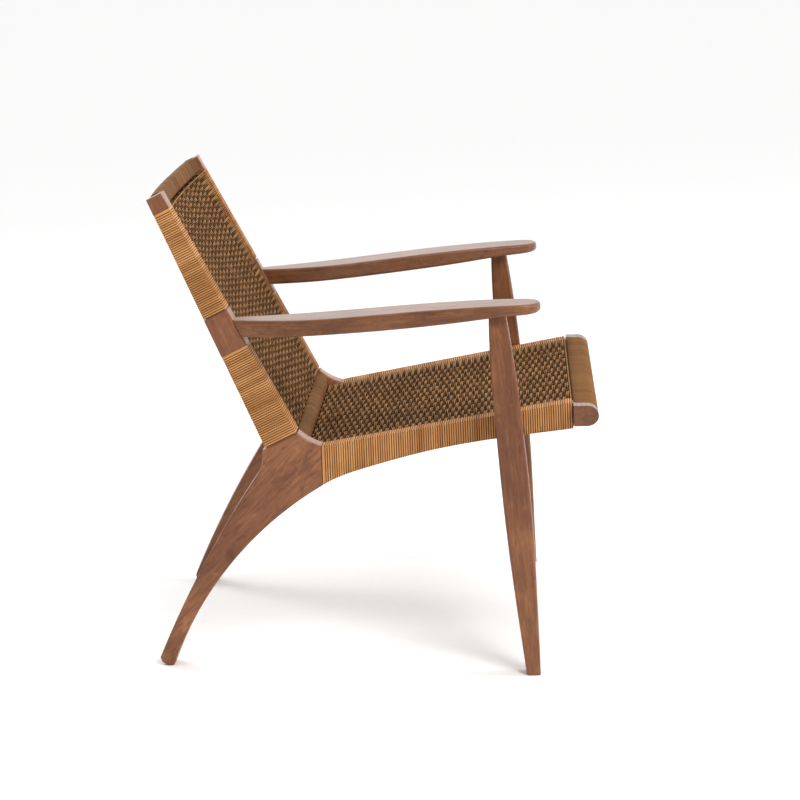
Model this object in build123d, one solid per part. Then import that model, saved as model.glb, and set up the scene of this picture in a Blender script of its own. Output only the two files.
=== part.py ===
from build123d import *
import os
from math import hypot, radians, tan

# A low lounge armchair: a hardwood frame with seat and back woven from paper cord.
# Millimetres. +Z is up, the chair faces -Y, and X = 0 is its plane of symmetry. The
# origin is on the floor, under the middle of the box that the chair fills.
# Every side piece is drawn for the sitter's right, at -X, and mirrored for the left.
# Outlines of side pieces are drawn in (Y, Z), and outlines seen from above in (X, Y).

# ---- driving dimensions ----
CORD = 2.8                   # thickness of one layer of cord on a wrapped member
FINE_CORD = 2.0              # thickness of the finer cord on the front rail
WEAVE = 7.0                  # thickness of the woven seat and back
GLUE_GAP = 0.1               # gap round a dowel or a screw in its hole

SIDE_HALF_WIDTH = 276.0      # outer face of the side frame from the centre, at Y = 0
SIDE_TOE = 2.2               # degrees by which each side frame opens to the front
HUB_THICK = 32.6             # rear leg and hub, across the chair
SIDE_THICK = HUB_THICK - 2 * CORD    # stile and seat rail inside their wraps
TOE_SPARE = 2.0              # extra length, trimmed square to the front rail

STILE_FOOT = (136.2, 341.5)  # centre of the stile where it stands on the hub
STILE_TOP = (309.2, 707.5)   # centre of the stile's upper end
STILE_DEPTH_FOOT = 53.6      # over its wrap, which is let in flush with the bare wood
STILE_DEPTH_TOP = 24.6
STILE_BARE_TOP = 25.0        # bare wood at the stile's upper end
ARM_BLOCK_LOW = 150.0        # distances up the stile between which it is bare for the arm
ARM_BLOCK_HIGH = 209.5

HUB_FRONT = 77.0             # where the seat rail meets the hub
HUB_TOP = 332.8
HUB_UNDER = 273.2

RAIL_FRONT = -294.8          # rear face of the front rail
RAIL_TOP_REAR = 332.5        # top of the wrapped seat rail at the hub
RAIL_TOP_FRONT = 394.0       # and at the front rail
RAIL_UNDER_FRONT = 353.0     # its underside there

FRONT_RAIL_HALF = 309.0
FRONT_RAIL_DEPTH = 36.5
FRONT_RAIL_NOSE = 17.0       # length of its rounded front part
FRONT_RAIL_LOW = 361.0
FRONT_RAIL_HIGH = 391.2
FRONT_RAIL_WRAP_HALF = 287.0

LEG_SPLAY = 2.8              # degrees by which a front leg leans out to its foot
LEG_FOOT_X = -354.5          # outer face of the front leg at the floor
LEG_THICK = 31.0
LEG_EDGE_R = 4.0

BACK_BOW = 10.0              # how far the top rail bows to the rear
LOW_BOW = 1.0                # the same at the lower end of the back weave
TOP_RAIL_HIGH = 20.5
TOP_RAIL_THICK = 15.0
TOP_RAIL_R = 4.0
TOP_TENON_INSET = 3.0        # smaller than the rail by this much all round
TOP_TENON_LENGTH = 12.0
TOP_RAIL_DROP = 1.6          # its top, below the stile's upper end
TOP_RAIL_FORE = 0.5          # its middle, ahead of the stile's centre line

# Straight rails across the chair: the two Y limits, underside, top, corner radius.
LOW_RAIL = (101.3, 133.7, 308.8, 345.2, 11.0)
REAR_RAIL = (79.0, 94.0, 299.0, 321.0, 4.0)
STRETCHER = (-216.0, -190.0, 312.0, 340.5, 4.0)

TENON_THICK = 11.0           # of the side frame's tenons, across the chair
STUB = 8.0                   # how far the rails between the hubs go into them
DOWEL_R = 4.0
EDGE_R = 2.5                 # rounding of wrapped members
HUB_EDGE_R = 3.0
BEYOND = 900.0               # larger than the chair, for the solids that trim others
BACK_REACH = 262.0           # half length of the arcs that the back's bowed parts follow
RAIL_REACH = 300.0           # half length of a straight rail before its ends are trimmed

# ---- directions ----
stile_run = (STILE_TOP[0] - STILE_FOOT[0], STILE_TOP[1] - STILE_FOOT[1])
STILE_LENGTH = hypot(*stile_run)
STILE_UP = (stile_run[0] / STILE_LENGTH, stile_run[1] / STILE_LENGTH)
STILE_FORE = (-STILE_UP[1], STILE_UP[0])     # square to the stile, forwards and up
RAIL_SLOPE = (RAIL_TOP_FRONT - RAIL_TOP_REAR) / (HUB_FRONT - RAIL_FRONT)

SIDE_PLACE = Location((-SIDE_HALF_WIDTH, 0, 0), (0, 0, -SIDE_TOE))
LEG_PLACE = Location((LEG_FOOT_X, 0, 0), (0, LEG_SPLAY, 0))


def side_x(y, inset=0.0):
    """X of the sitter's-right side frame's outer face at Y = y, moved inwards by inset."""
    return -SIDE_HALF_WIDTH + tan(radians(SIDE_TOE)) * y + inset


def stile_point(up, fore):
    """(Y, Z) at a distance up the stile from the hub, and forward of its centre line."""
    return (
        STILE_FOOT[0] + up * STILE_UP[0] + fore * STILE_FORE[0],
        STILE_FOOT[1] + up * STILE_UP[1] + fore * STILE_FORE[1],
    )


def stile_half_depth(up):
    """From the stile's centre line to its front or rear face, wrapped or bare."""
    share = up / STILE_LENGTH
    return (STILE_DEPTH_FOOT + (STILE_DEPTH_TOP - STILE_DEPTH_FOOT) * share) / 2


def side_slab(outline, thick, inset=0.0):
    """A (Y, Z) outline made into a board that lies inset from X = 0 towards +X."""
    return Pos(inset, 0, 0) * extrude(Plane.YZ * make_face(outline), thick)


def soften(slab, radius, wanted=lambda edge: True):
    """Rounds the wanted edges round both broad faces of a board drawn in (Y, Z)."""
    broad = slab.faces().filter_by(Axis.X)
    return fillet([edge for face in broad for edge in face.edges() if wanted(edge)], radius)


def longer_than(length):
    return lambda edge: edge.length > length


def box_on(plane, across, along, high):
    """A box centred on a plane's origin in its x and y, and rising along its normal."""
    return plane * Box(across, along, high, align=(Align.CENTER, Align.CENTER, Align.MIN))


def mirrored(solid):
    return mirror(solid, about=Plane.YZ)


def behind_front_rail(solid):
    """Trims a side piece to the flat rear face of the front rail."""
    ahead = Pos(0, RAIL_FRONT, RAIL_TOP_FRONT) * Box(
        BEYOND, BEYOND, BEYOND, align=(Align.CENTER, Align.MAX, Align.CENTER)
    )
    return solid - ahead


# ---- side frame: back stile, rear leg with hub, seat rail ----
def stile_span(low, high, inset=0.0):
    """The stile between two distances from the hub, inset from its outer faces."""
    corners = [
        stile_point(low, -stile_half_depth(low) + inset),
        stile_point(low, stile_half_depth(low) - inset),
        stile_point(high, stile_half_depth(high) - inset),
        stile_point(high, -stile_half_depth(high) + inset),
    ]
    return side_slab(Polyline(*corners, close=True), HUB_THICK - 2 * inset, inset)


def stile_plane(up):
    """A plane across the stile, its x along the chair's X and its normal down the stile."""
    y, z = stile_point(up, 0)
    middle = CORD + SIDE_THICK / 2
    return Plane(origin=(middle, y, z), x_dir=(1, 0, 0), z_dir=(0, -STILE_UP[0], -STILE_UP[1]))


def above_hub(edge):
    """All the stile's edges but those of its foot, which stand on the hub."""
    return edge.center().Z > STILE_FOOT[1] + STILE_DEPTH_FOOT


def make_stile_and_wraps():
    """The stile is bare at the arm and at its upper end. Between them it is thinner by a
    layer of cord all round, and the two wraps fill it out again."""
    outer = soften(stile_span(0, STILE_LENGTH), EDGE_R, above_hub)
    core = soften(stile_span(0, STILE_LENGTH, CORD), EDGE_R, above_hub)
    spans = ((0, ARM_BLOCK_LOW), (ARM_BLOCK_HIGH, STILE_LENGTH - STILE_BARE_TOP))
    wraps = [outer & (stile_span(low, high, -CORD) - core) for low, high in spans]
    wood = outer
    for wrap in wraps:
        wood = wood - wrap
    tenon_depth, tenon_length = 30.0, 28.0
    wood = wood + box_on(stile_plane(0), TENON_THICK, tenon_depth, tenon_length)
    return wood, *wraps


def rear_leg_outline():
    """Hub at the top, then a leg that curves down and back to a foot cut across it."""
    joint_rear, joint_front = stile_point(0, -31), stile_point(0, 27)
    foot_front, foot_rear = (309.5, 4.0), (331.6, 12.5)
    return Wire([
        Line(joint_rear, joint_front),
        ThreePointArc(joint_front, (96.5, 341.4), (HUB_FRONT, HUB_TOP)),
        Line((HUB_FRONT, HUB_TOP), (HUB_FRONT, HUB_UNDER)),
        ThreePointArc((HUB_FRONT, HUB_UNDER), (216.0, 158.6), foot_front),
        *Polyline(foot_front, (311.5, 0), (321.5, 0), (329.2, 5.5), foot_rear).edges(),
        ThreePointArc(foot_rear, (256.0, 162.0), (172.0, 294.0)),
        ThreePointArc((172.0, 294.0), (166.2, 308.0), joint_rear),
    ])


def rail_outline(grow=0.0):
    """Seat rail: straight on top, hollowed underneath where it springs from the hub."""
    inset = CORD - grow
    front = RAIL_FRONT - TOE_SPARE
    top_rear = (HUB_FRONT, RAIL_TOP_REAR - inset)
    top_front = (front, RAIL_TOP_FRONT - inset)
    under_rear = (HUB_FRONT, HUB_UNDER + inset)
    under_front = (front, RAIL_UNDER_FRONT + inset)
    under = Spline(
        under_rear, (14.5, 297.8 + inset), (-99.3, 326.3 + inset), under_front,
        tangents=[(-1, 0.62), (-1, 0.12)],
    )
    return Wire([
        Line(top_rear, top_front),
        Line(top_front, under_front),
        under,
        Line(under_rear, top_rear),
    ])


def make_rail():
    rail = soften(side_slab(rail_outline(), SIDE_THICK, CORD), EDGE_R, longer_than(100))
    middle = (CORD + SIDE_THICK / 2, HUB_FRONT, (HUB_TOP + HUB_UNDER) / 2)
    into_hub = Plane(origin=middle, x_dir=(1, 0, 0), z_dir=(0, 1, 0))
    tenon_depth, tenon_length = 34.0, 24.0
    return rail + box_on(into_hub, TENON_THICK, tenon_depth, tenon_length)


def make_rail_wrap(rail):
    return soften(side_slab(rail_outline(CORD), HUB_THICK), EDGE_R, longer_than(100)) - rail


# ---- arm and front leg ----
def arm_plan():
    """The arm from above: narrow at the stile, then a broad, slowly tapering paddle."""
    outer_rear, inner_rear = (-266.5, 206), (-239.5, 206)
    edge = Spline(
        outer_rear, (-281.5, 170), (-301.0, 114), (-323.0, 8), (-340.0, -141), (-345.0, -212),
        (-340.0, -239), (-314.5, -250.0), (-289.0, -241), (-277.5, -214),
        (-265.0, -141), (-244.5, 8), (-233.5, 114), (-235.0, 165), inner_rear,
        tangents=[(-0.4, -1), (-0.2, 1)],
    )
    return Wire([edge, Line(inner_rear, outer_rear)])


def arm_profile():
    """The arm from the side. Its rear end is cut to the front face of the stile."""
    rear_low = stile_point(ARM_BLOCK_LOW, stile_half_depth(ARM_BLOCK_LOW))
    rear_high = stile_point(ARM_BLOCK_HIGH, stile_half_depth(ARM_BLOCK_HIGH))

    def on_stile(z):
        share = (z - rear_low[1]) / (rear_high[1] - rear_low[1])
        return (rear_low[0] + share * (rear_high[0] - rear_low[0]), z)

    top = Spline(
        on_stile(523.5), (106.0, 526.0), (-45.0, 537.3), (-143.0, 543.8), (-252.0, 547.5),
        tangents=[(-1, 0.01), (-1, 0.02)],
    )
    under = Spline(
        (-252.0, 535.5), (-214.0, 531.2), (-140.0, 523.2), (50.0, 505.6), on_stile(498.5),
        tangents=[(1, -0.28), (1, -0.01)],
    )
    return Wire([
        top,
        Line((-252.0, 547.5), (-252.0, 535.5)),
        under,
        Line(on_stile(498.5), on_stile(523.5)),
    ])


def make_arm():
    plan = extrude(Plane.XY.offset(480) * make_face(arm_plan()), 90)
    profile = extrude(Plane.YZ.offset(-380) * make_face(arm_profile()), 200)
    arm = plan & profile
    long_edges = [edge for edge in arm.edges() if edge.length > 300]
    return fillet(long_edges, 4.0)


def leg_outline():
    """Front leg from the side: slim at the arm, fullest at the seat, slim at the foot."""
    rear = Spline(
        (-174.8, 532), (-175.8, 453), (-180.6, 371), (-190.0, 244.5), (-202.4, 126), (-218.5, -6),
        tangents=[(0.01, -1), (-0.12, -1)],
    )
    front = Spline(
        (-238.3, -6), (-236.6, 78), (-233.3, 196.5), (-221.6, 353), (-213.4, 433), (-199.5, 532),
        tangents=[(0.01, 1), (0.17, 1)],
    )
    return Wire([
        rear, Line((-218.5, -6), (-238.3, -6)), front, Line((-199.5, 532), (-174.8, 532)),
    ])


def leg_plane(z):
    """A plane across the front leg on its centre line, its normal up the leg."""
    return Plane(LEG_PLACE * Pos(LEG_THICK / 2, -187.5, z))


def make_leg(arm, stretcher_tenon):
    """The leg stops under the arm, with a round tenon that goes up into it."""
    blank = LEG_PLACE * soften(side_slab(leg_outline(), LEG_THICK), LEG_EDGE_R, longer_than(300))
    above_floor = Box(BEYOND, BEYOND, BEYOND, align=(Align.CENTER, Align.CENTER, Align.MIN))
    return (blank & above_floor) - arm + leg_tenon() - stretcher_tenon


def leg_tenon():
    tenon_radius, tenon_length = 8.5, 24.0
    upright = (Align.CENTER, Align.CENTER, Align.MIN)
    return leg_plane(515) * Cylinder(tenon_radius, tenon_length, align=upright)


# ---- rails across the chair ----
def rounded_bar(y_low, y_high, z_low, z_high, radius, half_length):
    """A bar across the chair with a rounded rectangular section."""
    centre = ((y_low + y_high) / 2, (z_low + z_high) / 2)
    section = Pos(*centre) * RectangleRounded(y_high - y_low, z_high - z_low, radius)
    return extrude(Plane.YZ.offset(-half_length) * section, 2 * half_length)


def grown_bar(section, grow=0.0, half_length=RAIL_REACH):
    """A straight rail from its row of dimensions, larger all round by grow."""
    y_low, y_high, z_low, z_high, radius = section
    return rounded_bar(
        y_low - grow, y_high + grow, z_low - grow, z_high + grow, max(radius + grow, 1.0),
        half_length,
    )


def front_rail_section(inset):
    """Flat behind and round in front."""
    low, high = FRONT_RAIL_LOW + inset, FRONT_RAIL_HIGH - inset
    rear, nose = RAIL_FRONT, RAIL_FRONT - FRONT_RAIL_DEPTH + inset
    bend = nose + FRONT_RAIL_NOSE - inset
    middle = (low + high) / 2
    return make_face(Wire([
        Line((rear, low), (rear, high)),
        Line((rear, high), (bend, high)),
        EllipticalCenterArc((bend, middle), bend - nose, high - middle, 90, arc_size=180),
        Line((bend, low), (rear, low)),
    ]))


def front_rail_part(inset, half_length):
    section = Plane.YZ.offset(-half_length) * front_rail_section(inset)
    return extrude(section, 2 * half_length)


def between_sides(solid, inset):
    """Cuts a piece off at both side frames, inset from their outer faces."""
    right = SIDE_PLACE * Pos(inset, 0, 0) * Box(
        BEYOND, 2 * BEYOND, 2 * BEYOND, align=(Align.MIN, Align.CENTER, Align.CENTER)
    )
    return solid & right & mirrored(right)


def bowed_face(up, fore, thick, bow):
    """A slice square to the stile, from its front face back, that bows to the rear."""
    y, z = stile_point(up, fore)
    plane = Plane(origin=(0, y, z), x_dir=(1, 0, 0), z_dir=(0, STILE_UP[0], STILE_UP[1]))
    outline = Wire([
        ThreePointArc((-BACK_REACH, 0), (0, bow), (BACK_REACH, 0)),
        Line((BACK_REACH, 0), (BACK_REACH, thick)),
        ThreePointArc((BACK_REACH, thick), (0, bow + thick), (-BACK_REACH, thick)),
        Line((-BACK_REACH, thick), (-BACK_REACH, 0)),
    ])
    return plane * make_face(outline)


def top_rail_bar(high, thick):
    """A bowed bar of the top rail's length, centred on the rail's own section."""
    middle = STILE_LENGTH - TOP_RAIL_HIGH / 2 - TOP_RAIL_DROP
    return extrude(bowed_face(middle - high / 2, TOP_RAIL_FORE + thick / 2, thick, BACK_BOW), high)


def soften_across(bar, radius):
    """Rounds the four long edges of a bar that runs across the chair."""
    long_edges = [edge for edge in bar.edges() if edge.length > 300]
    return fillet(long_edges, radius)


def weave_panel_seat():
    """The woven seat, level with the tops of the wrapped seat rails."""
    rear = LOW_RAIL[0] - CORD

    def top(y):
        return RAIL_TOP_REAR + RAIL_SLOPE * (HUB_FRONT - y)

    outline = Polyline(
        (rear, top(rear)), (RAIL_FRONT, top(RAIL_FRONT)),
        (RAIL_FRONT, top(RAIL_FRONT) - WEAVE), (rear, top(rear) - WEAVE), close=True,
    )
    panel = extrude(Plane.YZ.offset(-RAIL_REACH) * make_face(outline), 2 * RAIL_REACH)
    return between_sides(panel, HUB_THICK)


def weave_panel_back():
    """The woven back: nearly flat at the seat, bowed to the rear at the top rail."""
    low, high = -1.0, STILE_LENGTH - TOP_RAIL_DROP - TOP_RAIL_HIGH - CORD - 0.5
    sections = [
        bowed_face(up, stile_half_depth(up), WEAVE, bow)
        for up, bow in ((low, LOW_BOW), (high, BACK_BOW))
    ]
    return between_sides(loft(sections, ruled=True), HUB_THICK)


# ---- the right-hand side, then the rails, then what joins them ----
stile, stile_lower_wrap, stile_upper_wrap = make_stile_and_wraps()
rail = make_rail()
rail_wrap = make_rail_wrap(rail)
rear_leg = soften(side_slab(rear_leg_outline(), HUB_THICK), HUB_EDGE_R) - stile - rail
stile, stile_upper_wrap, stile_lower_wrap, rail, rail_wrap, rear_leg = (
    SIDE_PLACE * piece
    for piece in (stile, stile_upper_wrap, stile_lower_wrap, rail, rail_wrap, rear_leg)
)

rail, rail_wrap = behind_front_rail(rail), behind_front_rail(rail_wrap)


def bar_between_hubs(section, tenon_inset):
    """A rail between the hubs, with a tenon at each end that is smaller all round."""
    tenons = between_sides(grown_bar(section, -tenon_inset), HUB_THICK - STUB)
    return between_sides(grown_bar(section), HUB_THICK) + tenons, tenons


low_rail, low_rail_tenons = bar_between_hubs(LOW_RAIL, 6.0)
rear_rail, rear_rail_tenons = bar_between_hubs(REAR_RAIL, 3.0)
low_rail_wrap = between_sides(grown_bar(LOW_RAIL, CORD) - grown_bar(LOW_RAIL), HUB_THICK)

top_core = soften_across(top_rail_bar(TOP_RAIL_HIGH, TOP_RAIL_THICK), TOP_RAIL_R)
top_wrapped = soften_across(
    top_rail_bar(TOP_RAIL_HIGH + 2 * CORD, TOP_RAIL_THICK + 2 * CORD), TOP_RAIL_R + CORD
)
top_tenons = between_sides(
    top_rail_bar(TOP_RAIL_HIGH - 2 * TOP_TENON_INSET, TOP_RAIL_THICK - 2 * TOP_TENON_INSET),
    HUB_THICK - TOP_TENON_LENGTH,
)
top_rail = between_sides(top_core, HUB_THICK) + top_tenons
top_rail_wrap = between_sides(top_wrapped - top_core, HUB_THICK)

front_rail_wrap = front_rail_part(0, FRONT_RAIL_WRAP_HALF)
front_rail_core = front_rail_part(FINE_CORD, FRONT_RAIL_WRAP_HALF)
front_rail = front_rail_part(0, FRONT_RAIL_HALF) - (front_rail_wrap - front_rail_core)
front_rail_wrap = front_rail_wrap - front_rail_core

arm_blank = make_arm() - stile
stretcher_tenons = grown_bar(STRETCHER, -5.0, half_length=322.0)
leg = make_leg(arm_blank, stretcher_tenons)
arm = arm_blank - leg_tenon()
stretcher = (
    grown_bar(STRETCHER, half_length=318.0) - leg - mirrored(leg) + stretcher_tenons
    - rail_wrap - mirrored(rail_wrap)
)

for tenon in (low_rail_tenons, rear_rail_tenons):
    rear_leg = rear_leg - tenon
stile = stile - top_tenons


# ---- dowels and screws, each with its hole a glue gap wider ----
def dowel(centre, direction, radius, length, grow=0.0):
    plane = Plane(origin=centre, z_dir=direction)
    return plane * Cylinder(radius + grow, length + 2 * grow)


def arm_dowels(grow=0.0):
    """Two dowels side by side through the joint of the arm and the stile."""
    y, z, spread, length = 195.5, 511.0, 7.5, 36.0
    middle = side_x(y, HUB_THICK / 2)
    return [
        dowel((middle + side * spread, y, z), (0, 1, 0), DOWEL_R, length, grow)
        for side in (-1, 1)
    ]


def front_dowels(grow=0.0):
    """Two dowels one above the other through the joint of the seat rail and front rail."""
    middle, length = side_x(RAIL_FRONT, HUB_THICK / 2), 34.0
    return [
        dowel((middle, RAIL_FRONT + 3.0, z), (0, 1, 0), DOWEL_R - 0.4, length, grow)
        for z in (369.8, 382.2)
    ]


def stretcher_screw(grow=0.0):
    """A countersunk screw up through the stretcher into the seat rail."""
    y, low, tip = -203.0, STRETCHER[2] + 2.0, 366.0
    x = side_x(y, HUB_THICK / 2)
    shank_radius, head_radius, head_high = 2.2, 4.4, 3.0
    head = Cone(
        head_radius + grow, shank_radius + grow, head_high,
        align=(Align.CENTER, Align.CENTER, Align.MIN),
    )
    socket = Cylinder(
        head_radius + grow, low - STRETCHER[2], align=(Align.CENTER, Align.CENTER, Align.MAX)
    )
    shank = Cylinder(
        shank_radius + grow, tip - low + grow, align=(Align.CENTER, Align.CENTER, Align.MIN)
    )
    screw = head + shank
    if grow:
        screw = screw + socket
    return Pos(x, y, low) * screw


for hole in arm_dowels(GLUE_GAP):
    arm, stile = arm - hole, stile - hole
for hole in front_dowels(GLUE_GAP):
    front_rail = front_rail - hole - mirrored(hole)
    rail = rail - hole
screw_hole = stretcher_screw(GLUE_GAP)
rail, rail_wrap = rail - screw_hole, rail_wrap - screw_hole
stretcher = stretcher - screw_hole - mirrored(screw_hole)

# ---- every piece, by name ----
pieces = {
    "front_rail": front_rail,
    "front_rail_wrap": front_rail_wrap,
    "back_top_rail": top_rail,
    "back_top_rail_wrap": top_rail_wrap,
    "back_lower_rail": low_rail,
    "back_lower_rail_wrap": low_rail_wrap,
    "seat_rear_rail": rear_rail,
    "front_stretcher": stretcher,
    "seat_weave": weave_panel_seat(),
    "back_weave": weave_panel_back(),
}
right_side = {
    "rear_leg": rear_leg,
    "back_stile": stile,
    "seat_side_rail": rail,
    "front_leg": leg,
    "arm": arm,
    "stile_upper_wrap": stile_upper_wrap,
    "stile_lower_wrap": stile_lower_wrap,
    "side_rail_wrap": rail_wrap,
}
for name, solid in right_side.items():
    pieces[name + "_right"] = solid
    pieces[name + "_left"] = mirrored(solid)
groups = {
    "arm_dowels": arm_dowels(),
    "front_rail_dowels": front_dowels(),
    "stretcher_screws": [stretcher_screw()],
}
for name, solids in groups.items():
    pieces[name] = Compound(children=solids + [mirrored(solid) for solid in solids])

os.makedirs("parts", exist_ok=True)
for name, shape in pieces.items():
    export_step(shape, f"parts/{name}.step")
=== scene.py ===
import math

import bpy
import numpy as np
from mathutils import Matrix, Vector
from mathutils.bvhtree import BVHTree
from mathutils.geometry import convex_hull_2d


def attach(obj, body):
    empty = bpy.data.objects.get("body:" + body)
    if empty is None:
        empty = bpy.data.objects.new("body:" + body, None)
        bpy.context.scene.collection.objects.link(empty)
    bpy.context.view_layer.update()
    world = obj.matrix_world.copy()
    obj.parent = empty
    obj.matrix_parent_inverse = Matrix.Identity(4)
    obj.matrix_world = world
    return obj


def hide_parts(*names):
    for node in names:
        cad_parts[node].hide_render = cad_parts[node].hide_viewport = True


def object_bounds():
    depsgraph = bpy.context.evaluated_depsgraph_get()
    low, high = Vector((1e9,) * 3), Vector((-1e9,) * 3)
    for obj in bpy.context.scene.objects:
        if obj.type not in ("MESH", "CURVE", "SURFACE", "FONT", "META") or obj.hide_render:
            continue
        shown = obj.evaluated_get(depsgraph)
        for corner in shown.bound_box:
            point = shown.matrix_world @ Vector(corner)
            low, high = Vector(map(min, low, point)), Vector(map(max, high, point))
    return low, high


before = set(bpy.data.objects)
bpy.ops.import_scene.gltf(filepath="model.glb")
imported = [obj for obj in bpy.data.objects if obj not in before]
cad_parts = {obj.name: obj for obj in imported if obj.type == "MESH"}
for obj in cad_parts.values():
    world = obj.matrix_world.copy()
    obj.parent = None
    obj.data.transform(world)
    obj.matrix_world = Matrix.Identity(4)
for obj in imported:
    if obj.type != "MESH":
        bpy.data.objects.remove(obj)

# The looks of a low lounge armchair: stained wood, wound cord, and a seat and back woven
# from cord. Metres, in the frame of the CAD model: +Z up, the chair faces -Y, and the
# sitter's right is at -X.

cad_box = [list(corner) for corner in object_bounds()]
rng = np.random.default_rng(25)

# ---- sizes ----
CORD = 0.0028                 # thickness of the cord on a wrapped member
CORD_PITCH = 0.0034           # from one turn of a wrap to the next
RAIL_PITCH = 0.0031           # the same on the top and lower rails of the back
FINE_CORD = 0.0020            # the finer cord on the front rail
FINE_PITCH = 0.0021
WEFT_RADIUS = 0.00122         # one of the two cords of a weft, which runs across the chair
WEFT_FLAT = 0.00178           # half its width, so that it presses against the next
WEFT_PITCH = 0.0049           # from one pair of cords to the next
WEFT_PINCH = 0.0004           # how far it moves towards its neighbour between two bundles
WARP_RADIUS = 0.00125         # a cord of a bundle that runs front to back, or up the back
WARP_FLAT = 0.00150           # half its width
SEAT_RELIEF = 0.0017          # how far wefts go above and below the middle of the weave
BACK_RELIEF = 0.0013          # the same in the back
WARP_RELIEF = 0.7             # a warp's rise and fall for a weft's
BUNDLE_CORDS = 6
BUNDLES = 14
RETURN_CORDS = 13             # straight cords underneath, from one bundle to the next
CORD_SIDES = 8                # sides of a wound cord's tube
WEAVE_SIDES = 6               # and of a woven cord's

# ---- directions ----
SIDE_TOE = math.radians(2.2)      # the side frames open to the front
STILE_LEAN = math.radians(25.3)   # the back leans to the rear
SEAT_RISE = math.radians(9.26)    # the seat rises to the front

ACROSS = np.array([1.0, 0.0, 0.0])
STILE_UP = np.array([0.0, math.sin(STILE_LEAN), math.cos(STILE_LEAN)])
STILE_FORE = np.array([0.0, -math.cos(STILE_LEAN), math.sin(STILE_LEAN)])
SEAT_AHEAD = np.array([0.0, -math.cos(SEAT_RISE), math.sin(SEAT_RISE)])
SEAT_UP = np.array([0.0, math.sin(SEAT_RISE), math.cos(SEAT_RISE)])
REAR = np.array([0.0, 1.0, 0.0])


def toed(direction, side):
    """A direction of a side frame, turned by the toe: side is -1 for the sitter's right."""
    turn = Matrix.Rotation(side * SIDE_TOE, 3, "Z")
    return np.array(turn @ Vector(direction))


# ---- materials ----
class Nodes:
    """A node tree, with short calls for the nodes used here."""

    def __init__(self, tree):
        self.nodes, self.links = tree.nodes, tree.links

    def put(self, socket, value):
        """Links an output to the socket, or sets it to a number, a vector or a colour."""
        if isinstance(value, bpy.types.NodeSocket):
            self.links.new(value, socket)
        elif socket.type == "RGBA":
            socket.default_value = (*value, 1.0)
        else:
            socket.default_value = value

    def node(self, kind, **settings):
        made = self.nodes.new("ShaderNode" + kind)
        for key, value in settings.items():
            setattr(made, key, value)
        return made

    def fill(self, node, **inputs):
        """Links or sets a node's inputs, named with _ for a space."""
        for key, value in inputs.items():
            self.put(node.inputs[key.replace("_", " ")], value)
        return node

    def combine(self, kind, operation, *values):
        made = self.node(kind, operation=operation)
        for socket, value in zip(made.inputs, values):
            self.put(socket, value)
        return made

    def maths(self, operation, *values):
        return self.combine("Math", operation, *values).outputs[0]

    def noise(self, vector, scale, detail, roughness=0.55, distortion=0.0):
        made = self.fill(
            self.node("TexNoise"), Vector=vector, Scale=scale, Detail=detail,
            Roughness=roughness, Distortion=distortion,
        )
        return made.outputs["Fac"]

    def ramp(self, value, low, high, out_low=0.0, out_high=1.0):
        """A smooth step from out_low, where the value is at low, to out_high, where at high."""
        made = self.fill(self.node("MapRange", interpolation_type="SMOOTHSTEP"), Value=value)
        for socket, number in zip(made.inputs[1:5], (low, high, out_low, out_high)):
            socket.default_value = number
        return made.outputs["Result"]

    def mix(self, share, first, second, blend="MIX"):
        made = self.node("Mix", data_type="RGBA", blend_type=blend, clamp_factor=True)
        factor, colours = made.inputs[0], made.inputs[6:8]
        for socket, value in zip((factor, *colours), (share, first, second)):
            self.put(socket, value)
        return made.outputs[2]

    def tint(self, colour, pattern, low, high, amount, tone):
        """Lays a tone over a colour: none of it where the pattern is at low, and the amount
        where it is at high."""
        return self.mix(self.ramp(pattern, low, high, 0.0, amount), colour, tone)

    def bump(self, height, strength, distance):
        made = self.fill(self.node("Bump"), Height=height, Strength=strength, Distance=distance)
        return made.outputs["Normal"]


class Shader(Nodes):
    """A new material and its node tree."""

    def __init__(self, name):
        self.material = bpy.data.materials.new(name)
        self.material.use_nodes = True
        super().__init__(self.material.node_tree)
        self.surface = self.nodes["Principled BSDF"]
        self.place = self.node("TexCoord").outputs["Object"]


WOOD_MID = (0.215, 0.080, 0.033)
WOOD_DARK = (0.105, 0.036, 0.016)
WOOD_LIGHT = (0.320, 0.132, 0.054)
WOOD_PORE = (0.050, 0.018, 0.010)
EDGE_RADIUS = 0.0035          # how far in from an edge the painted edge shade reaches


def swirled(shader, vector, amount):
    """Bends the space of a texture, as grain bends round a burl."""
    swirl = shader.fill(shader.node("TexNoise"), Vector=shader.place, Scale=16.0, Detail=2.0)
    shift = (swirl.outputs["Color"], (amount, amount, amount), vector)
    return shader.combine("VectorMath", "MULTIPLY_ADD", *shift).outputs[0]


def flatness(shader):
    """1 on a flat or gently curved face, and less within the edge radius of an edge."""
    edge = shader.fill(shader.node("Bevel", samples=4), Radius=EDGE_RADIUS)
    normals = (edge.outputs["Normal"], shader.node("NewGeometry").outputs["Normal"])
    return shader.combine("VectorMath", "DOT_PRODUCT", *normals).outputs["Value"]


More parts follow.
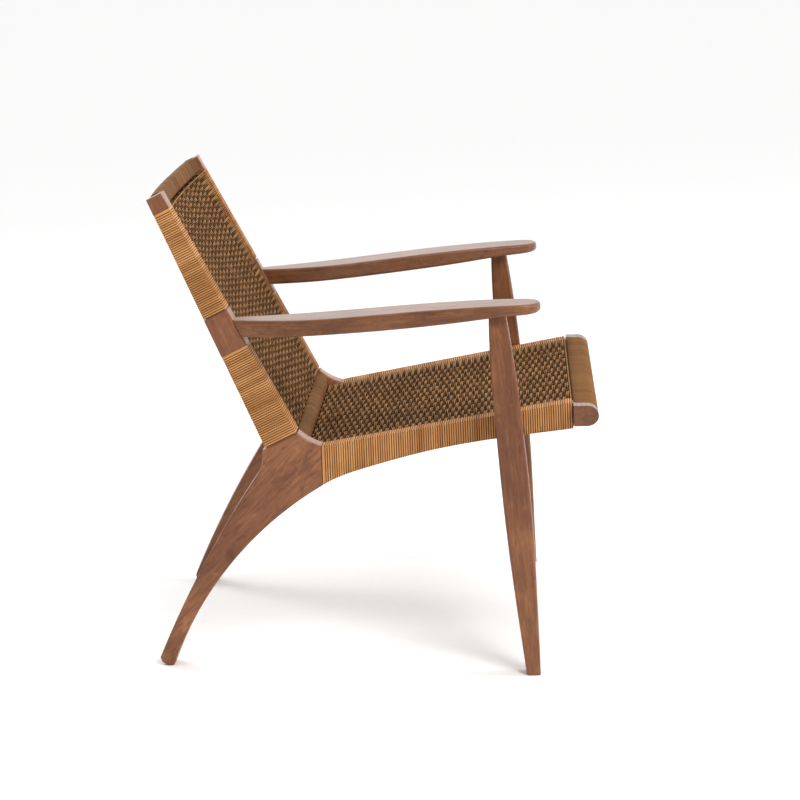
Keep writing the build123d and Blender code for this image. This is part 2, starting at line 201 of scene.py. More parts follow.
def wood(name, grain, seed, figure, shade):
    """Stained hardwood with its grain along a direction; figure adds burl and small knots,
    and shade is painted light and shade: a part made lighter or darker for how it is lit."""
    shader = Shader(name)
    turn = Vector(grain).to_track_quat("X", "Z").to_euler()

    def along_grain(stretch):
        """The space of a texture, stretched along the grain and different for each seed."""
        made = shader.fill(
            shader.node("Mapping", vector_type="TEXTURE"), Vector=shader.place,
            Location=(seed * 1.7, seed * 0.9, seed * 2.3), Rotation=turn,
            Scale=(stretch, 1.0, 1.0),
        )
        return made.outputs["Vector"]

    warped = along_grain(5.0)
    if figure:
        warped = swirled(shader, warped, 0.07 * figure)
    rings = shader.node("TexWave", wave_type="RINGS", rings_direction="X", wave_profile="SIN")
    shader.fill(
        rings, Vector=warped, Scale=34.0, Distortion=5.0, Detail=3.0,
        Detail_Scale=1.6, Detail_Roughness=0.6,
    )
    cloud = shader.noise(along_grain(2.5), scale=13.0, detail=3.0)
    stain = shader.noise(along_grain(1.8), scale=42.0, detail=4.0, roughness=0.6, distortion=0.4)
    streak = shader.noise(
        along_grain(16.0), scale=260.0, detail=5.0, roughness=0.65, distortion=0.3,
    )
    pore = shader.noise(along_grain(30.0), scale=900.0, detail=2.0, roughness=0.5)
    pores = shader.ramp(pore, 0.62, 0.74, 0.0, 0.75)

    colour = shader.mix(shader.ramp(cloud, 0.32, 0.68), WOOD_DARK, WOOD_LIGHT)
    colour = shader.mix(0.55, colour, WOOD_MID)
    blotch = 0.35 + 0.4 * figure
    colour = shader.tint(colour, rings.outputs["Fac"], 0.15, 0.95, 0.16, WOOD_DARK)
    colour = shader.tint(colour, stain, 0.54, 0.68, blotch, WOOD_DARK)
    colour = shader.tint(colour, stain, 0.46, 0.34, blotch, WOOD_LIGHT)
    colour = shader.tint(colour, streak, 0.42, 0.70, 0.45, WOOD_DARK)
    colour = shader.tint(colour, streak, 0.50, 0.28, 0.35, WOOD_LIGHT)
    colour = shader.mix(pores, colour, WOOD_PORE)
    if figure:
        cells = shader.node("TexVoronoi", feature="SMOOTH_F1")
        shader.fill(cells, Vector=warped, Scale=17.0, Randomness=1.0, Smoothness=0.4)
        knots = cells.outputs["Distance"]
        colour = shader.tint(colour, knots, 0.32, 0.06, 0.85 * figure, WOOD_PORE)
    # painted shade: the colour is darkened along edges, where the faces turn away from the light
    colour = shader.tint(colour, flatness(shader), 0.985, 0.80, 0.55, WOOD_DARK)
    # painted light and shade: the part's colour is made lighter or darker for how brightly it is
    # lit
    colour = shader.mix(1.0, colour, (shade, shade, shade), blend="MULTIPLY")

    height = shader.maths("SUBTRACT", shader.maths("MULTIPLY", streak, 0.35), pores)
    shader.fill(
        shader.surface, Base_Color=colour, Roughness=shader.ramp(streak, 0.3, 0.8, 0.40, 0.56),
        Normal=shader.bump(height, strength=0.35, distance=0.0003),
        Specular_IOR_Level=0.15, Coat_Weight=0.65, Coat_Roughness=0.22, Coat_IOR=1.32,
    )
    return shader.material


CORD_PAPERS = {               # the light and dark paper, the painted shade where cords meet, length of a twist
    "wound": ((0.70, 0.345, 0.130), (0.38, 0.155, 0.050), (0.036, 0.012, 0.004), 0.0036),
    "brown": ((0.250, 0.120, 0.044), (0.130, 0.057, 0.021), (0.020, 0.008, 0.003), 0.0036),
    "fine": ((0.250, 0.112, 0.034), (0.155, 0.066, 0.020), (0.045, 0.017, 0.005), 0.0026),
    "woven": ((0.60, 0.300, 0.105), (0.260, 0.118, 0.040), (0.010, 0.004, 0.0015), 0.0036),
}
CORD_END_HIGHLIGHT = (0.62, 0.52, 0.38)     # the painted highlight on the last turns of a wrap
HIGHLIGHT_TONE = 2.0                    # the tone of those turns: other tones lie between 0 and 1
CORD_STRANDS = 3.0            # ridges round a cord
CORD_SHINE = 0.12             # specular level on top of a cord


def cord(name, light, dark, crevice_shade, twist):
    """Twisted paper cord: slanting ridges from its twist, and painted shade in its grooves and
    where cords meet.
    """
    shader = Shader(name)
    uv = shader.node("UVMap", uv_map="cord").outputs["UV"]
    along, around = shader.fill(shader.node("SeparateXYZ"), Vector=uv).outputs[:2]
    turns = shader.maths("DIVIDE", along, twist)
    strands = shader.maths("MULTIPLY", around, CORD_STRANDS)
    phase = shader.maths("MULTIPLY", shader.maths("ADD", turns, strands), 2 * math.pi)
    ridge = shader.maths("MULTIPLY_ADD", shader.maths("SINE", phase), 0.5, 0.5)

    tone = shader.node("Attribute", attribute_name="tone").outputs["Fac"]
    depth = shader.node("Attribute", attribute_name="depth").outputs["Fac"]
    patch = shader.noise(shader.place, scale=22.0, detail=3.0)
    fibre = shader.noise(shader.place, scale=1500.0, detail=2.0)
    worn = shader.noise(shader.place, scale=38.0, detail=2.0, roughness=0.5, distortion=1.5)
    of_place = shader.maths("MULTIPLY", patch, 0.4)
    lightness = shader.maths("MULTIPLY_ADD", tone, 0.6, of_place)
    colour = shader.mix(shader.ramp(lightness, 0.25, 0.75), dark, light)
    colour = shader.tint(colour, fibre, 0.45, 0.70, 0.25, light)
    # painted shade in the grooves of the twist
    colour = shader.tint(colour, ridge, 0.35, 0.0, 0.30, crevice_shade)
    # painted shade where a cord lies deep: at its sides, low in the weave or hidden
    colour = shader.tint(colour, depth, 0.985, 0.74, 0.97, crevice_shade)
    colour = shader.tint(colour, worn, 0.55, 0.72, 0.5, dark)
    # painted highlight: the end turns of a wrap are painted pale
    colour = shader.tint(colour, tone, 0.75 * HIGHLIGHT_TONE, HIGHLIGHT_TONE, 1.0, CORD_END_HIGHLIGHT)

    rough_paper = shader.maths("MULTIPLY", fibre, 0.3)
    height = shader.maths("MULTIPLY_ADD", ridge, 0.5, rough_paper)
    shader.fill(
        shader.surface, Base_Color=colour, Roughness=0.62,
        Normal=shader.bump(height, strength=0.6, distance=0.0004),
        Specular_IOR_Level=shader.ramp(depth, 0.74, 0.98, 0.0, CORD_SHINE),
    )
    return shader.material


def steel():
    """Brushed screw steel."""
    shader = Shader("screw_steel")
    brushed = shader.noise(shader.place, scale=2400.0, detail=2.0)
    shader.fill(
        shader.surface, Base_Color=(0.56, 0.56, 0.57), Metallic=1.0,
        Roughness=shader.ramp(brushed, 0.3, 0.7, 0.25, 0.42),
    )
    return shader.material


# ---- wood and steel on the CAD nodes ----
WOODS = {                     # the direction of the grain, its figure, and the painted light and shade
    "rear_leg": ((0.0, 0.72, -0.69), 0.9, 1.12),
    "back_stile": (STILE_UP, 0.1, 1.10),
    "seat_side_rail": (SEAT_AHEAD, 0.0, 1.0),
    "front_leg": ((0.0, 0.08, 1.0), 0.15, 0.95),
    "arm": ((0.0, 1.0, -0.06), 0.15, 0.82),
    "front_rail": (ACROSS, 0.1, 0.72),
    "back_top_rail": (ACROSS, 0.0, 1.0),
    "back_lower_rail": (ACROSS, 0.0, 1.0),
    "seat_rear_rail": (ACROSS, 0.0, 1.0),
    "front_stretcher": (ACROSS, 0.0, 1.0),
    "arm_dowels": (REAR, 0.0, 1.0),
    "front_rail_dowels": (REAR, 0.0, 1.0),
}


def finish_cad_nodes():
    """Wood and steel on the pieces of the CAD model that are shown as they are."""
    screw_finish = steel()
    for index, (name, node) in enumerate(sorted(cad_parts.items())):
        family = name.removesuffix("_left").removesuffix("_right")
        if family in WOODS:
            grain, figure, shade = WOODS[family]
            finish = wood("wood_" + name, grain, 1.0 + index, figure, shade)
            slot = "stained_wood"
        elif family == "stretcher_screws":
            finish, slot = screw_finish, "steel"
        else:
            continue
        for place in node.material_slots:
            place.material = finish


# ---- cords as tubes ----
CORD_SHADE = 0.16             # how much the shade changes from one turn or cord to the next
CORD_SIDE_DEPTH = 0.57        # depth at the sides of a cord, next to its neighbours, for 1 on top, which paints shade between cords


class CordMesh:
    """Gathers tubes of cord into one mesh, which keeps the way along and round each cord."""

    def __init__(self, sides):
        self.sides = sides
        self.points, self.quads, self.uv, self.tone, self.depth = [], [], [], [], []
        self.total = 0

    def add(self, path, outward, thick, wide, tone, depth, lift=0.0):
        """One cord along path. Outward points away from what it lies on. Depth is 1 where
        the cord is on top and 0 where it is hidden, and sets the painted shade of its colour;
        lift is added to it on the outward side and taken from it on the other. Tone is the
        cord's own shade, and the painted highlight of a wrap's end turns."""
        count, sides = len(path), self.sides
        steps = np.linalg.norm(np.diff(path, axis=0), axis=1)
        along = np.concatenate([[0.0], np.cumsum(steps)])
        tangent = np.gradient(path, axis=0)
        tangent /= np.linalg.norm(tangent, axis=1)[:, None]
        side = np.cross(tangent, outward)
        side /= np.linalg.norm(side, axis=1)[:, None]
        out = np.cross(side, tangent)
        angle = 2 * np.pi * np.arange(sides) / sides
        height = np.cos(angle)[None, :, None] * out[:, None, :] * thick
        width = np.sin(angle)[None, :, None] * side[:, None, :] * wide
        self.points.append((path[:, None, :] + height + width).reshape(-1, 3))

        row, column = np.meshgrid(np.arange(count - 1), np.arange(sides), indexing="ij")
        row, column = row.ravel(), column.ravel()
        right = (column + 1) % sides
        quads = np.stack([
            row * sides + column, row * sides + right,
            (row + 1) * sides + right, (row + 1) * sides + column,
        ], axis=1)
        uv = np.stack([
            np.stack([along[row], column / sides], axis=1),
            np.stack([along[row], (column + 1) / sides], axis=1),
            np.stack([along[row + 1], (column + 1) / sides], axis=1),
            np.stack([along[row + 1], column / sides], axis=1),
        ], axis=1)
        cap = np.array([(0, k, k + 1, k + 2) for k in range(1, sides - 2, 2)])
        last = (count - 1) * sides
        self.quads.append(np.concatenate([quads, cap[:, ::-1], cap + last]) + self.total)
        self.uv.append(np.concatenate([uv.reshape(-1, 2), np.zeros((8 * len(cap), 2))]))
        self.total += count * sides

        self.tone.append(np.repeat(np.broadcast_to(tone, count), sides))
        # painted light and shade from the cord's height: one side lighter, the other darker
        lifted = np.outer(np.broadcast_to(lift, count), np.cos(angle))
        level = np.broadcast_to(depth, count)[:, None] + lifted
        # painted shade at the sides of a cord, where it meets its neighbours
        beside = CORD_SIDE_DEPTH + (1 - CORD_SIDE_DEPTH) * np.abs(np.cos(angle))
        self.depth.append((level * beside).ravel())

    def build(self, name, material, slot, *nodes):
        """Makes the object, which rides on the chair and stands for the CAD nodes."""
        points, quads = np.concatenate(self.points), np.concatenate(self.quads)
        mesh = bpy.data.meshes.new(name)
        mesh.vertices.add(len(points))
        mesh.vertices.foreach_set("co", points.astype(np.float32).ravel())
        corners = quads.size
        mesh.loops.add(corners)
        mesh.loops.foreach_set("vertex_index", quads.astype(np.int32).ravel())
        mesh.polygons.add(len(quads))
        mesh.polygons.foreach_set("loop_start", np.arange(0, corners, 4, dtype=np.int32))
        mesh.update(calc_edges=True)
        mesh.polygons.foreach_set("use_smooth", np.ones(len(quads), bool))
        layer = mesh.uv_layers.new(name="cord")
        layer.uv.foreach_set("vector", np.concatenate(self.uv).astype(np.float32).ravel())
        for key, values in (("tone", self.tone), ("depth", self.depth)):
            attribute = mesh.attributes.new(key, "FLOAT", "POINT")
            attribute.data.foreach_set("value", np.concatenate(values).astype(np.float32))
        mesh.materials.append(material)
        piece = bpy.data.objects.new(name, mesh)
        bpy.context.scene.collection.objects.link(piece)
        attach(piece, "root")
        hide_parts(*nodes)


def node_points(node):
    """The vertices of a CAD node's mesh."""
    return np.array([vertex.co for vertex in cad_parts[node].data.vertices])


def smooth_noise(count, step, size):
    """Gentle random changes along a row of count places, one new value each step."""
    knots = rng.normal(0.0, size, count // step + 3)
    return np.interp(np.arange(count) / step, np.arange(len(knots)), knots)


# ---- cord wound round a member ----
SAMPLES = 24                  # places round the member at which a turn is set out
LONGEST_STEP = 0.012          # between two points of a cord on a straight stretch
TURN_WANDER = 0.00009         # how unevenly the turns lie along the member
TURN_SINK = 0.00010           # and how unevenly they are pulled in
HALF_TURN = 0.51              # half a cord's width for the pitch, so that turns touch


class Section:
    """Cuts through a CAD node, square to the way that its cord is wound along."""

    def __init__(self, node, run, across):
        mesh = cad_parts[node].data
        self.points = node_points(node)
        self.edges = np.array([edge.vertices[:] for edge in mesh.edges])
        self.run, self.across = run, across
        self.other = np.cross(run, across)
        distance = self.points @ run
        self.low, self.high = distance.min(), distance.max()
        self.angle = 2 * np.pi * (np.arange(SAMPLES) + 0.5) / SAMPLES

    def outline(self, distance, inset):
        """Points round the cut, inset from its convex outline."""
        level = self.points @ self.run - distance
        first, second = self.edges.T
        crossed = level[first] * level[second] < 0
        first, second = first[crossed], second[crossed]
        share = (level[first] / (level[first] - level[second]))[:, None]
        cut = self.points[first] + share * (self.points[second] - self.points[first])
        flat = np.stack([cut @ self.across, cut @ self.other], axis=1)
        hull = flat[convex_hull_2d(flat.tolist())]
        facing = np.stack([np.cos(self.angle), np.sin(self.angle)], axis=1)
        touching = np.argmax(facing @ hull.T, axis=1)
        return hull[touching] - inset * facing

    def outward(self):
        """Directions away from the member at the points of an outline."""
        cosine, sine = np.cos(self.angle)[:, None], np.sin(self.angle)[:, None]
        return cosine * self.across + sine * self.other


def wind(
    name, node, run, across, pitch, thick, material, slot, looseness=1.0, highlight_turns=0,
):
    """Winds one cord in close turns over the whole length of a wrapped member. Looseness
    makes the turns less even, and the last argument counts the turns at each end with a
    painted highlight."""
    section = Section(node, run, across)
    turns = round((section.high - section.low) / pitch)
    pitch = (section.high - section.low) / turns
    centres = section.low + pitch * (np.arange(turns) + 0.5)
    rings = [section.outline(distance, thick / 2) for distance in centres]
    wander = smooth_noise(turns, step=1, size=TURN_WANDER * looseness)
    sunk = np.abs(smooth_noise(turns, step=1, size=TURN_SINK * looseness))
    shade = 0.5 + smooth_noise(turns, step=1, size=CORD_SHADE)
    shade = np.clip(shade + smooth_noise(turns, step=9, size=0.08), 0, 1)
    # the end turns get the tone of the painted highlight
    shade[:highlight_turns], shade[turns - highlight_turns:] = HIGHLIGHT_TONE, HIGHLIGHT_TONE
    outward = section.outward()
    share = np.arange(SAMPLES) / SAMPLES
    path, facing, tone = [], [], []
    for turn in range(turns):
        after = min(turn + 1, turns - 1)
        flat = rings[turn] + share[:, None] * (rings[after] - rings[turn])
        distance = centres[turn] + wander[turn] + share * (
            centres[after] - centres[turn] + wander[after] - wander[turn]
        )
        depth = sunk[turn] + share * (sunk[after] - sunk[turn])
        points = flat[:, :1] * section.across + flat[:, 1:] * section.other
        points = points + distance[:, None] * run - depth[:, None] * outward
        path.append(points)
        facing.append(outward)
        tone.append(shade[turn] + share * (shade[after] - shade[turn]))
    path, facing, tone = subdivided(*map(np.concatenate, (path, facing, tone)))
    cords = CordMesh(CORD_SIDES)
    cords.add(path, facing, thick / 2, pitch * HALF_TURN, tone, depth=1.0)
    cords.build(name, material, slot, node)


def subdivided(path, facing, tone):
    """Adds points where two of them are further apart than the longest step."""
    gap = np.linalg.norm(np.diff(path, axis=0), axis=1)
    parts = np.maximum(1, np.ceil(gap / LONGEST_STEP).astype(int))
    index = np.repeat(np.arange(len(parts)), parts)
    start = np.concatenate([[0], np.cumsum(parts)[:-1]])
    share = ((np.arange(len(index)) - start[index]) / parts[index])[:, None]
    blend = path[index] * (1 - share) + path[index + 1] * share
    turned = facing[index] * (1 - share) + facing[index + 1] * share
    turned /= np.linalg.norm(turned, axis=1)[:, None]
    shade = tone[index] * (1 - share[:, 0]) + tone[index + 1] * share[:, 0]
    return (
        np.concatenate([blend, path[-1:]]),
        np.concatenate([turned, facing[-1:]]),
        np.concatenate([shade, tone[-1:]]),
    )


WRAPPED = (("stile_upper", STILE_UP), ("stile_lower", STILE_UP), ("side_rail", REAR))


def wind_all(wound, fine, brown):
    """The wraps of the stiles and side rails, one side after the other, then of the rails
    that run across."""
    for side_name, side in (("right", -1), ("left", 1)):
        across = toed(ACROSS, side)
        for part, run in WRAPPED:
            node = f"{part}_wrap_{side_name}"
            run = toed(run, side)
            wind(f"cord_{node}", node, run, across, CORD_PITCH, CORD, wound, "wound_cord")
    wind(
        "cord_back_top_rail", "back_top_rail_wrap", ACROSS, STILE_FORE, RAIL_PITCH, CORD,
        brown, "wound_cord", looseness=2.5,
    )
    wind(
        "cord_back_lower_rail", "back_lower_rail_wrap", ACROSS, REAR, RAIL_PITCH, CORD,
        brown, "wound_cord",
    )
    wind(
        "cord_front_rail", "front_rail_wrap", ACROSS, REAR, FINE_PITCH, FINE_CORD,
        fine, "fine_cord", looseness=0.7, highlight_turns=2,
    )


# ---- woven seat and back ----
NEAR_MARGIN = 0.013           # from the side frame to the middle of the first bundle
FAR_MARGIN = 0.040            # and from the last bundle to the other side frame
ROW_STEPS = 6                 # points of a weft from one bundle to the next
WARP_STEPS = 4                # points of a warp from one weft to the next
TUCK = 0.012                  # how far a weft turns down inside the side frames
BEND_LEAN = 0.6               # how much the outside of that bend faces the side frame
WOVEN_DEPTH = 0.87            # depth value of a woven cord, where a wound one has 1, so that woven cords get more painted shade
RELIEF_SHADE = 50.0           # how much of its depth value, as painted shade, a cord loses for a metre lower
TWIST_CORD = 0.00125          # radius of a cord of the twist at the end of a weave
TWIST_RADIUS = 0.0011         # from the middle of the twist to the middle of a cord
TWIST_TURN = 0.013            # length of one turn of the twist
TWIST_STEP = 0.0016           # from one point of a twisted cord to the next


class Panel:
    """The space that a CAD weave fills, as x, a distance along it, and a height over its
    middle. It may bow across the chair, and its sides may spread."""

    PROBE_INSET = 0.003       # from the ends of the panel to where its shape is taken
    PROBE_ASIDE = 0.2         # x at which its bow is taken
    SIDE_ASIDE = 0.24         # x near its side, where the bow is followed to
    CLEAR_ABOVE = 0.1         # starts of rays, clear of the panel's faces
    CLEAR_ASIDE = 0.5         # and of its sides

    def __init__(self, node, along, normal):
        self.along, self.normal = along, normal
        points = node_points(node)
        distance = points @ along
        self.low, self.high = distance.min(), distance.max()
        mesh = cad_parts[node].data
        faces = [face.vertices[:] for face in mesh.polygons]
        self.tree = BVHTree.FromPolygons(points.tolist(), faces)
        self.middle_height = (points @ normal).mean()
        self.ends_at = (self.low + self.PROBE_INSET, self.high - self.PROBE_INSET)
        self.ends = [self.probe(distance) for distance in self.ends_at]

    def face_height(self, x, distance, direction):
        """How high the panel's upper or lower face is, at one place."""
        above = self.middle_height + self.CLEAR_ABOVE * direction
        start = x * ACROSS + distance * self.along + above * self.normal
        hit = self.tree.ray_cast(Vector(start), Vector(-direction * self.normal))[0]
        return float(np.array(hit) @ self.normal)

    def middle(self, x, distance):
        """The height half way between the two faces."""
        return (self.face_height(x, distance, 1) + self.face_height(x, distance, -1)) / 2

    def probe(self, distance):
        """Middle height, bow and half width of the panel at one distance."""
        height = self.middle(0.0, distance)
        bow = (self.middle(self.PROBE_ASIDE, distance) - height) / self.PROBE_ASIDE**2
        side = height + bow * self.SIDE_ASIDE**2
        beyond = distance * self.along + side * self.normal + self.CLEAR_ASIDE * ACROSS
        hit = self.tree.ray_cast(Vector(beyond), Vector(-ACROSS))[0]
        return np.array([height, bow, hit[0]])

    def shape(self, distance):
        """Middle height, bow and half width at any distance, straight from end to end."""
        share = (distance - self.ends_at[0]) / (self.ends_at[1] - self.ends_at[0])
        return self.ends[0] + np.multiply.outer(share, self.ends[1] - self.ends[0])

    def half(self, distance):
        """Half the panel's width."""
        return self.shape(distance)[..., 2]

    def place(self, x, distance, height):
        """Points of the chair for places in the panel."""
        x, distance, height = np.broadcast_arrays(x, distance, height)
        shape = self.shape(distance)
        level = shape[..., 0] + shape[..., 1] * x**2 + height
        places = zip((x, distance, level), (ACROSS, self.along, self.normal))
        return sum(size[..., None] * direction for size, direction in places)


def bundle_x(panel, index, distance):
    """X of a bundle, counted from the sitter's right."""
    half = panel.half(distance)
    span = 2 * half - NEAR_MARGIN - FAR_MARGIN
    return -half + NEAR_MARGIN + index * span / (BUNDLES - 1)


def weave_wefts(cords, panel, distances, relief):
    """Cords across the panel, over and under the bundles by turns, and turned down out of
    sight inside the side frames."""
    step = np.arange((BUNDLES - 1) * ROW_STEPS + 1) / ROW_STEPS
    ease = np.array([0.25, 0.5, 0.75])
    blend = ease * ease * (3 - 2 * ease)
    corner = WEFT_RADIUS
    corner_in = np.array([0.0, 0.0, 0.3, 1.0]) * corner
    corner_height = relief - np.array([TUCK, corner, 0.3 * corner, 0.0])
    for number in range(2 * len(distances)):
        index, twin = divmod(number, 2)
        distance = distances[index] + (twin - 0.5) * 2 * WEFT_RADIUS
        sign = 1 if index % 2 else -1
        x = bundle_x(panel, step, distance)
        rise = sign * relief * np.cos(np.pi * step)
        pinch = sign * WEFT_PINCH * np.sin(np.pi * step)
        end = panel.half(distance) - WEFT_RADIUS
        x = np.concatenate([
            corner_in - end, (x[0] + end) * ease - end, x,
            (end + (x[-1] - end) * ease)[::-1], (end - corner_in)[::-1],
        ])
        rise = np.concatenate([
            corner_height, relief + (rise[0] - relief) * blend, rise,
            (relief + (rise[-1] - relief) * blend)[::-1], corner_height[::-1],
        ])
        turned = np.zeros(len(corner_in) + len(ease))
        pinch = np.concatenate([turned, pinch, turned])
        drift = smooth_noise(len(x), step=14, size=0.00022)
        path = panel.place(x, distance + pinch + drift, rise)
        outward = np.broadcast_to(panel.normal, path.shape).copy()
        outward[:2], outward[-2:] = -ACROSS, ACROSS
        outward[2] -= BEND_LEAN * ACROSS
        outward[-3] += BEND_LEAN * ACROSS
        shade = 0.5 + rng.normal(0, CORD_SHADE) + smooth_noise(len(x), step=9, size=0.14)
        # painted shade: a weft is darker where it dips under the bundles
        cords.add(
            path, outward, WEFT_RADIUS, WEFT_FLAT, np.clip(shade, 0, 1),
            WOVEN_DEPTH, RELIEF_SHADE * rise,
        )


def weave_warps(cords, panel, bundles, distances, relief, start, finish):
    """Bundles of cords along the panel, under each weft where that passes over them. Start
    and finish are the turned ends, as distances in from the panel's ends and heights."""
    count = len(distances)
    step = np.arange(-WARP_STEPS, count * WARP_STEPS + 1) / WARP_STEPS
    along = distances[0] + step * (distances[-1] - distances[0]) / (count - 1)
    distance = np.concatenate([
        panel.low + np.array(start[0]), along, panel.high - np.array(finish[0]),
    ])
    inside = np.clip(distance, panel.low, panel.high)
    for bundle in bundles:
        sign = 1 if bundle % 2 else -1
        rise = sign * WARP_RELIEF * relief * np.cos(np.pi * step)
        height = np.concatenate([start[1], rise, finish[1]])
        for place in range(BUNDLE_CORDS):
            aside = (place - (BUNDLE_CORDS - 1) / 2) * 2 * WARP_RADIUS
            wobble = smooth_noise(len(along), step=24, size=0.00018)
            wobble = np.pad(wobble, (len(start[0]), len(finish[0])))
            x = bundle_x(panel, bundle, inside) + aside + wobble
            path = panel.place(x, distance, height)
            shade = 0.5 + rng.normal(0, CORD_SHADE) + smooth_noise(len(x), step=40, size=0.12)
            # painted shade: a warp is darker where it dips under the wefts
            cords.add(
                path, turned_outward(path, panel), WARP_RADIUS, WARP_FLAT, np.clip(shade, 0, 1),
                WOVEN_DEPTH, RELIEF_SHADE * np.clip(height, -relief, relief),
            )


def turned_outward(path, panel):
    """Outward directions for a path in a plane across X: square to the path and to X."""
    tangent = np.gradient(path, axis=0)
    outward = np.cross(ACROSS, tangent)
    flip = np.sign(np.cross(ACROSS, panel.along) @ panel.normal)
    return outward * flip / np.linalg.norm(outward, axis=1)[:, None]


def twisted_edge(cords, panel, distance, height):
    """Two cords twisted together along the end of the weave."""
    half = panel.half(distance) - WEFT_RADIUS
    x = np.arange(-half, half, TWIST_STEP)
    for start in (0.0, math.pi):
        phase = 2 * math.pi * x / TWIST_TURN + start
        path = panel.place(
            x, distance + TWIST_RADIUS * np.cos(phase), height + TWIST_RADIUS * np.sin(phase),
        )
        outward = np.broadcast_to(panel.normal, path.shape)
        shade = np.clip(0.75 + smooth_noise(len(x), step=12, size=0.12), 0, 1)
        # painted shade where each cord of the twist passes under the other
        depth = 0.75 + 0.25 * np.sin(phase)
        cords.add(path, outward, TWIST_CORD, TWIST_CORD, shade, depth)


def weave(part, along, normal, relief, gaps, edge, start, finish, material):
    """Weaves the seat or the back. Gaps are from the panel's ends to the first and last
    weft, and edge is the place of the twist: in from the panel's high end, and its height.
    Start and finish are those of weave_warps."""
    node = f"{part}_weave"
    panel = Panel(node, along, normal)
    first, last = panel.low + gaps[0], panel.high - gaps[1]
    distances = np.linspace(first, last, round((last - first) / WEFT_PITCH))
    wefts = CordMesh(WEAVE_SIDES)
    weave_wefts(wefts, panel, distances, relief)
    twisted_edge(wefts, panel, panel.high - edge[0], edge[1])
    wefts.build(f"{part}_wefts", material, "woven_cord", node)
    for side, bundle in (("right", 0), ("left", BUNDLES // 2)):
        warps = CordMesh(WEAVE_SIDES)
        bundles = range(bundle, bundle + BUNDLES // 2)
        weave_warps(warps, panel, bundles, distances, relief, start, finish)
        warps.build(f"{part}_warps_{side}", material, "woven_cord", node)
    return panel


def return_cords(panel, material):
    """Straight cords along the underside of the seat, side by side between the bundles."""
    cords = CordMesh(WEAVE_SIDES)
    inset, points = 0.002, 9
    distance = np.linspace(panel.low + inset, panel.high - inset, points)
    height = -(SEAT_RELIEF + WEFT_RADIUS + WARP_RADIUS)
    for gap in range(-1, BUNDLES):
        for share in np.arange(RETURN_CORDS) / RETURN_CORDS:
            x = bundle_x(panel, gap + share, distance)
            if gap in (-1, BUNDLES - 1):
                half = panel.half(distance) - WARP_RADIUS
                x = np.clip(x, -half, half)
            x = x + smooth_noise(len(distance), step=2, size=0.0003)
            path = panel.place(x, distance, height)
            shade = rng.uniform(0.2, 0.8)
            # painted shade: the cords under the seat are darker, most on the side facing the
            # weave above
            cords.add(
                path, turned_outward(path, panel), WARP_RADIUS, WARP_FLAT, shade,
                depth=0.8, lift=-0.2,
            )
    cords.build("seat_return_cords", material, "woven_cord", "seat_weave")


def weave_seat_and_back(material):
    seat = weave(
        "seat", SEAT_AHEAD, SEAT_UP, SEAT_RELIEF, gaps=(0.006, 0.0075), edge=(0.0030, 0.0012),
        start=((0.0020, 0.0016), (-0.008, -0.002)), finish=((0.0017, 0.0016), (-0.002, -0.016)),
        material=material,
    )
    return_cords(seat, material)
    weave(
        "back", STILE_UP, STILE_FORE, BACK_RELIEF, gaps=(0.005, 0.0065), edge=(0.0028, 0.0014),
        start=((0.0005, 0.0005), (-0.009, -0.002)), finish=((0.0010, 0.0008), (-0.002, -0.009)),
        material=material,
    )


# ---- camera, floor and light ----
NEAR_WALL = 0.28              # brightness of the studio on the sitter's right
FAR_WALL = 1.25               # and on the sitter's left
CEILING = 0.6                 # how much it brightens upwards, for 1 towards the left
WALL_CHANGE = (-0.45, 0.55)   # from where to where it changes, if straight left is at 1
FLOOR_PAINT = ((0.93, 0.93, 0.925), (0.95, 0.95, 0.945))


def make_camera():
    """The camera looks across the chair from the sitter's right and a little above."""
    at = Vector((-4.436, -0.2195, 1.204))
    heading, dip, roll = math.radians(2.45), math.radians(10.93), math.radians(-1.83)
    forward = Vector((
        math.cos(dip) * math.cos(heading), math.cos(dip) * math.sin(heading), -math.sin(dip),
    ))
    right = forward.cross(Vector((0.0, 0.0, 1.0))).normalized()
    up = right.cross(forward)
    right, up = (
        right * math.cos(roll) + up * math.sin(roll),
        up * math.cos(roll) - right * math.sin(roll),
    )
    data = bpy.data.cameras.new("camera")
    data.sensor_width, data.lens = 36.0, 130.2      # millimetres
    data.clip_start, data.clip_end = 0.05, 100.0
    camera = bpy.data.objects.new("camera", data)
    camera.matrix_world = Matrix((right, up, -forward)).transposed().to_4x4()
    camera.location = at
    bpy.context.scene.collection.objects.link(camera)
    bpy.context.scene.camera = camera


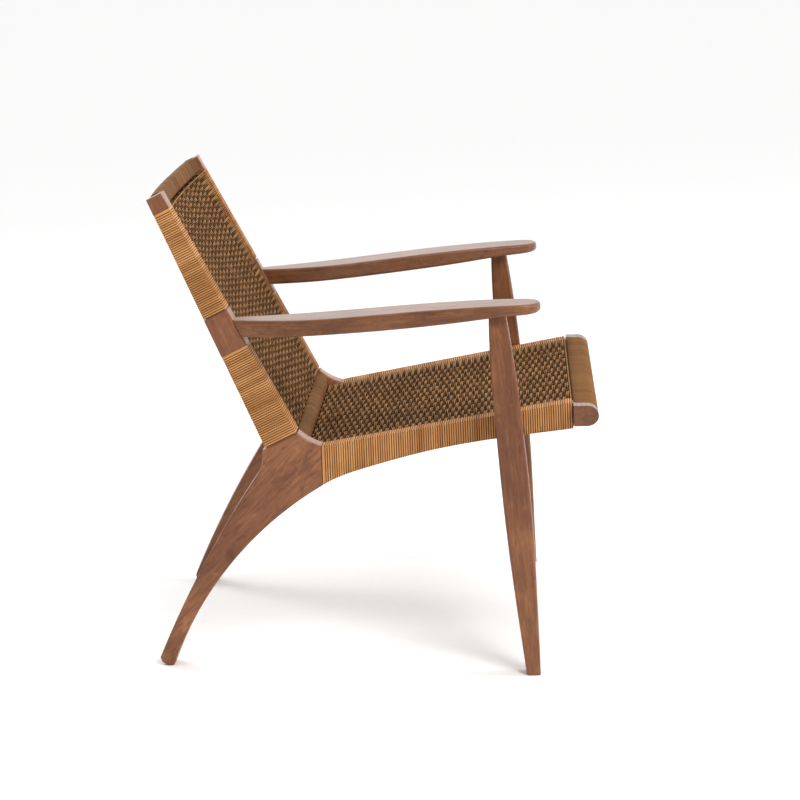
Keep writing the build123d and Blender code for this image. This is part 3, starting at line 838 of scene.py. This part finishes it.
def make_floor():
    """A pale round floor, large enough to have no visible edge."""
    radius, segments = 40.0, 96
    angles = [2 * math.pi * index / segments for index in range(segments)]
    mesh = bpy.data.meshes.new("floor")
    mesh.from_pydata(
        [(radius * math.cos(angle), radius * math.sin(angle), 0.0) for angle in angles],
        [], [tuple(range(segments))],
    )
    shader = Shader("floor_paint")
    speck = shader.noise(shader.place, scale=60.0, detail=3.0)
    colour = shader.mix(shader.ramp(speck, 0.3, 0.7), *FLOOR_PAINT)
    shader.fill(shader.surface, Base_Color=colour, Roughness=0.75)
    mesh.materials.append(shader.material)
    floor = bpy.data.objects.new("floor", mesh)
    bpy.context.scene.collection.objects.link(floor)


def area_light(name, at, towards, size, power):
    """A round lamp, with its width in metres and its power in watts."""
    data = bpy.data.lights.new(name, "AREA")
    data.shape, data.size, data.energy = "DISK", size, power
    light = bpy.data.objects.new(name, data)
    light.location = at
    light.rotation_euler = (Vector(towards) - Vector(at)).to_track_quat("-Z", "Y").to_euler()
    bpy.context.scene.collection.objects.link(light)


def make_light():
    """A studio with pale walls on the sitter's left and above, and a dimmer wall on the
    right, from where the camera looks."""
    world = bpy.data.worlds.new("studio")
    world.use_nodes = True
    sky = Nodes(world.node_tree)
    way = sky.fill(
        sky.node("SeparateXYZ"), Vector=sky.node("TexCoord").outputs["Generated"],
    ).outputs
    facing = sky.maths("MULTIPLY_ADD", way["Z"], CEILING, way["X"])
    level = sky.ramp(facing, *WALL_CHANGE, NEAR_WALL, FAR_WALL)
    sky.fill(sky.nodes["Background"], Color=(1.0, 1.0, 1.0), Strength=level)
    bpy.context.scene.world = world
    bpy.context.scene.view_settings.view_transform = "Standard"
    low, high = (Vector(corner) for corner in cad_box)
    middle = (low + high) / 2
    area_light("key", (-2.6, -1.6, 3.0), middle, size=1.6, power=95.0)
    area_light("front", (-0.3, -3.4, 1.2), middle, size=0.9, power=40.0)
    area_light("back", (2.0, 1.5, 2.6), middle, size=1.6, power=30.0)


make_camera()
make_floor()
make_light()
finish_cad_nodes()
papers = {name: cord(f"{name}_cord_paper", *looks) for name, looks in CORD_PAPERS.items()}
wind_all(papers["wound"], papers["fine"], papers["brown"])
weave_seat_and_back(papers["woven"])
